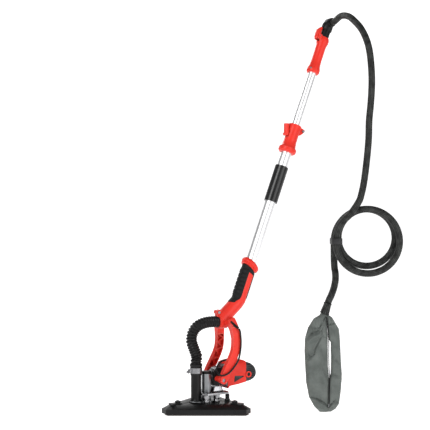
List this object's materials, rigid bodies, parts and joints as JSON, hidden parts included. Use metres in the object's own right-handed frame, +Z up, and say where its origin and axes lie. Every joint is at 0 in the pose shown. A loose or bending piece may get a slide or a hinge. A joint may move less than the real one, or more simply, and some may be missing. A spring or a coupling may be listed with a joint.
{
  "type": "pole drywall sander",
  "caption": "Long-pole drywall sander with a triangular orbital head in a fork, a telescoping pole, and a hose to a dust bag.",
  "frame": {"origin": "middle of the main grip, on the pole's axis", "axes": "+Z up with the tool standing on its sanding face; +X from the spindle towards the motor, which is also the way the pole leans; -Y is the near side"},
  "size_m": [0.7189, 0.4865, 1.3139],
  "materials": {
    "red_plastic": "satin",
    "black_plastic": "satin",
    "black_gloss": "gloss",
    "grip_rubber": "matte",
    "hose_rubber": "satin",
    "polished_tube": "polished",
    "cast_metal": "satin",
    "bright_metal": "polished",
    "steel": "satin",
    "winding_copper": "satin",
    "hose_braid": "matte",
    "bag_cloth": "matte",
    "abrasive": "matte",
    "pad_foam": "matte"
  },
  "bodies": {
    "yoke_handle": {"yoke_near_half": "red_plastic", "yoke_far_half": "red_plastic", "grip_overmould": "grip_rubber", "neck_collar": "red_plastic", "lower_tube": "polished_tube", "hand_sleeve": "black_gloss", "clamp_body": "red_plastic", "clamp_bolt": "steel", "pivot_bolt_near": "steel", "pivot_bolt_far": "steel", "cable_gland": "black_plastic", "power_inlet": "black_plastic", "socket_screw": "steel", "flex_hose": "hose_rubber", "motor_cable": "hose_rubber"},
    "power_switch": {"power_switch": "black_plastic"},
    "speed_dial": {"speed_dial": "black_plastic"},
    "clamp_lever": {"clamp_lever": "red_plastic"},
    "upper_pole": {"upper_tube": "polished_tube", "tube_bushing": "black_plastic", "top_grip": "red_plastic", "latch_pin": "steel"},
    "hose_latch": {"hose_latch": "red_plastic"},
    "hose_swivel": {"swivel_collar": "black_plastic", "hose_elbow": "black_plastic", "hose_drop": "hose_braid", "hose_coil": "hose_braid", "hose_tie": "hose_braid", "hose_tail": "hose_braid", "bag_cuff": "bag_cloth", "dust_bag": "bag_cloth"},
    "gimbal": {"gimbal_block": "black_plastic"},
    "sanding_head": {"head_cover": "black_plastic", "corner_guard_1": "black_plastic", "corner_guard_2": "black_plastic", "corner_guard_3": "black_plastic", "base_flange": "cast_metal", "dust_port": "black_plastic", "hose_cuff": "grip_rubber", "hose_clamp_band": "bright_metal", "cradle": "bright_metal", "bumper_near": "grip_rubber", "bumper_far": "grip_rubber", "gear_housing": "cast_metal", "spindle_cap": "black_plastic", "spindle_bearing": "steel", "motor_flange": "cast_metal", "motor_housing": "red_plastic", "motor_rear_cap": "black_plastic", "motor_stator": "steel", "brush_cap_near": "black_plastic", "brush_cap_far": "black_plastic"},
    "rotor": {"armature": "winding_copper", "cooling_fan": "black_plastic"},
    "drive_spindle": {"drive_spindle": "steel", "bevel_gear": "steel"},
    "sanding_pad": {"pad_plate": "pad_foam", "abrasive_sheet": "abrasive"}
  },
  "joints": [
    {"name": "head_pitch", "type": "hinge", "parent": "yoke_handle", "child": "gimbal", "pos_m": [-0.11323, 0, -0.30807], "axis": [0, 1, 0], "range_deg": [-35, 45], "deforming": ["flex_hose", "motor_cable"]},
    {"name": "head_roll", "type": "hinge", "parent": "gimbal", "child": "sanding_head", "pos_m": [-0.11323, 0, -0.30107], "axis": [1, 0, 0], "range_deg": [-6, 6]},
    {"name": "spindle_spin", "type": "hinge", "parent": "sanding_head", "child": "drive_spindle", "pos_m": [-0.14423, 0, -0.35007], "axis": [0, 0, 1], "continuous": true},
    {"name": "pad_orbit", "type": "hinge", "parent": "drive_spindle", "child": "sanding_pad", "pos_m": [-0.14223, 0, -0.39807], "axis": [0, 0, 1], "continuous": true},
    {"name": "rotor_spin", "type": "hinge", "parent": "sanding_head", "child": "rotor", "pos_m": [-0.08423, 0, -0.30107], "axis": [1, 0, 0], "continuous": true},
    {"name": "switch_rock", "type": "hinge", "parent": "yoke_handle", "child": "power_switch", "pos_m": [-0.00686, 0.021, -0.02737], "axis": [0.9323, 0, -0.3616], "range_deg": [0, 10]},
    {"name": "dial_turn", "type": "hinge", "parent": "yoke_handle", "child": "speed_dial", "pos_m": [0.00507, 0.022, 0.0034], "axis": [0, 1, 0], "range_deg": [0, 270]},
    {"name": "clamp_lever_swing", "type": "hinge", "parent": "yoke_handle", "child": "clamp_lever", "pos_m": [0.16179, 0, 0.49178], "axis": [0, 1, 0], "range_deg": [-70, 0]},
    {"name": "pole_extend", "type": "slide", "parent": "yoke_handle", "child": "upper_pole", "axis": [0.3616, 0, 0.9323], "range_m": [0, 0.28]},
    {"name": "hose_latch_press", "type": "hinge", "parent": "upper_pole", "child": "hose_latch", "pos_m": [0.29942, 0, 0.83417], "axis": [0, 1, 0], "range_deg": [-16, 0], "stiffness_Nm_per_rad": 0.3},
    {"name": "hose_swivel_turn", "type": "hinge", "parent": "upper_pole", "child": "hose_swivel", "pos_m": [0.32293, 0, 0.83256], "axis": [0.3616, 0, 0.9323], "range_deg": [-25, 25]}
  ],
  "couplings": [
    {"joint": "pad_orbit", "follows": "spindle_spin", "ratio": -1},
    {"joint": "rotor_spin", "follows": "spindle_spin", "ratio": 2.6667}
  ]
}
